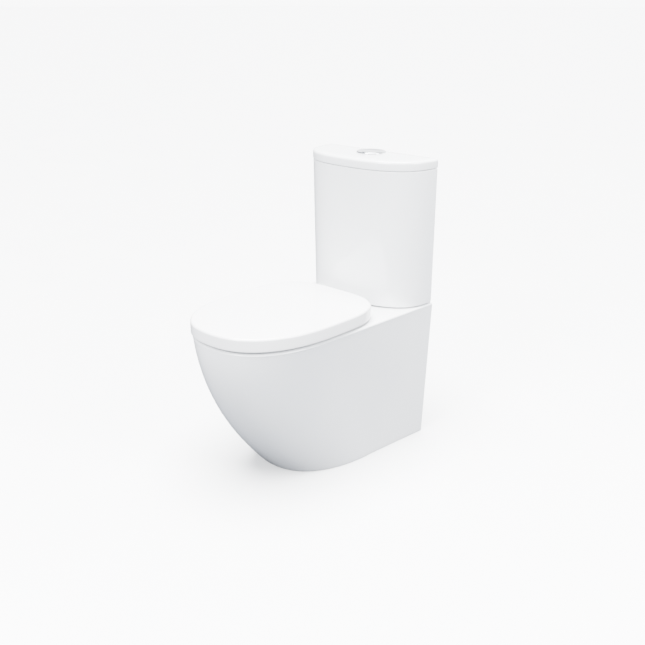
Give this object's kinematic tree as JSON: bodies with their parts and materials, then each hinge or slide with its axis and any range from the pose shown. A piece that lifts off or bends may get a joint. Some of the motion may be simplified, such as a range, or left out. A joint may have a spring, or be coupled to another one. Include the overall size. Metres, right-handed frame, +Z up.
{
  "type": "close coupled toilet",
  "caption": "Close coupled toilet with a skirted back-to-wall pan, D-shaped cistern, lift-off cistern lid, dual flush button, hinged seat and wrap-over lid.",
  "frame": {"origin": "centre of the bounding box at floor level", "axes": "+Z up from the floor, +Y towards the wall behind the toilet, -Y out of the seat's front, +X across"},
  "size_m": [0.383, 0.646, 0.804],
  "materials": {
    "vitreous_china": "glossy white glaze",
    "seat_plastic": "glossy white thermoset",
    "valve_plastic": "moulded, satin",
    "nut_plastic": "moulded, matt grey",
    "float_plastic": "moulded, matt blue",
    "chrome": "polished",
    "steel": "plain stainless",
    "rubber": "matt black",
    "buffer_rubber": "soft pale grey"
  },
  "bodies": {
    "toilet": {"pan": "vitreous_china", "cistern": "vitreous_china", "coupling_seal": "rubber", "coupling_washer_left": "rubber", "coupling_washer_right": "rubber", "coupling_bolt_left": "steel", "coupling_bolt_right": "steel", "coupling_nut_left": "nut_plastic", "coupling_nut_right": "nut_plastic", "flush_valve_body": "valve_plastic", "flush_valve_gasket": "rubber", "flush_valve_nut": "valve_plastic", "rocker_pin": "steel", "fill_valve_body": "valve_plastic", "fill_valve_washer": "rubber", "fill_valve_nut": "nut_plastic", "hinge_gasket_left": "rubber", "hinge_gasket_right": "rubber", "hinge_post_left": "chrome", "hinge_post_right": "chrome", "hinge_pin_left": "steel", "hinge_pin_right": "steel", "seat_bolt_left": "steel", "seat_bolt_right": "steel", "seat_nut_left": "nut_plastic", "seat_nut_right": "nut_plastic"},
    "cistern_lid": {"cistern_lid": "vitreous_china", "button_bezel": "chrome", "button_collar_nut": "nut_plastic", "full_flush_spring": "steel", "half_flush_spring": "steel"},
    "full_button": {"full_flush_button": "chrome", "full_flush_rod": "valve_plastic"},
    "half_button": {"half_flush_button": "chrome", "half_flush_rod": "valve_plastic"},
    "full_rocker": {"full_flush_rocker": "nut_plastic"},
    "half_rocker": {"half_flush_rocker": "nut_plastic"},
    "flush_stem": {"flush_stem": "valve_plastic", "flush_seal": "rubber"},
    "half_float": {"half_flush_float": "float_plastic"},
    "float": {"float_cup": "float_plastic", "float_rod": "nut_plastic"},
    "fill_lever": {"fill_lever": "nut_plastic"},
    "seat": {"seat": "seat_plastic", "seat_buffer_front_left": "buffer_rubber", "seat_buffer_front_right": "buffer_rubber", "seat_buffer_rear_left": "buffer_rubber", "seat_buffer_rear_right": "buffer_rubber"},
    "lid": {"lid": "seat_plastic", "lid_buffer_front_left": "buffer_rubber", "lid_buffer_front_right": "buffer_rubber", "lid_buffer_rear_left": "buffer_rubber", "lid_buffer_rear_right": "buffer_rubber"}
  },
  "joints": [
    {"name": "seat_hinge", "type": "hinge", "parent": "toilet", "child": "seat", "pos_m": [0, 0.126, 0.424], "axis": [-1, 0, 0], "range_deg": [0, 92.5]},
    {"name": "lid_hinge", "type": "hinge", "parent": "seat", "child": "lid", "pos_m": [0, 0.126, 0.424], "axis": [1, 0, 0], "range_deg": [-92.5, 0]},
    {"name": "cistern_lid_lift", "type": "slide", "parent": "toilet", "child": "cistern_lid", "axis": [0, 0, 1], "range_m": [0, 0.1]},
    {"name": "full_flush_press", "type": "slide", "parent": "cistern_lid", "child": "full_button", "axis": [0, 0, -1], "range_m": [0, 0.008], "stiffness_N_per_m": 300, "springref_m": -0.01, "deforming": ["full_flush_spring"]},
    {"name": "half_flush_press", "type": "slide", "parent": "cistern_lid", "child": "half_button", "axis": [0, 0, -1], "range_m": [0, 0.008], "stiffness_N_per_m": 300, "springref_m": -0.01, "deforming": ["half_flush_spring"]},
    {"name": "full_rocker_turn", "type": "hinge", "parent": "toilet", "child": "full_rocker", "pos_m": [0, 0.25025, 0.716], "axis": [1, 0, 0], "range_deg": [0, 24.2]},
    {"name": "half_rocker_turn", "type": "hinge", "parent": "toilet", "child": "half_rocker", "pos_m": [0, 0.25025, 0.716], "axis": [1, 0, 0], "range_deg": [0, 24.2]},
    {"name": "flush_stem_lift", "type": "slide", "parent": "toilet", "child": "flush_stem", "axis": [0, 0, 1], "range_m": [0, 0.0102]},
    {"name": "half_float_lift", "type": "slide", "parent": "toilet", "child": "half_float", "axis": [0, 0, 1], "range_m": [0, 0.0102]},
    {"name": "float_travel", "type": "slide", "parent": "toilet", "child": "float", "axis": [0, 0, 1], "range_m": [-0.012, 0], "stiffness_N_per_m": 60, "springref_m": 0.02},
    {"name": "fill_lever_turn", "type": "hinge", "parent": "toilet", "child": "fill_lever", "pos_m": [0.134, 0.24525, 0.7215], "axis": [0, 1, 0], "range_deg": [-16.7, 0]}
  ],
  "couplings": [
    {"joint": "full_rocker_turn", "follows": "full_flush_press", "rad_per_m": 52.5},
    {"joint": "half_rocker_turn", "follows": "half_flush_press", "rad_per_m": 52.5},
    {"joint": "flush_stem_lift", "follows": "full_flush_press", "ratio": 1.25},
    {"joint": "half_float_lift", "follows": "half_flush_press", "ratio": 1.25},
    {"joint": "fill_lever_turn", "follows": "float_travel", "rad_per_m": 24}
  ]
}
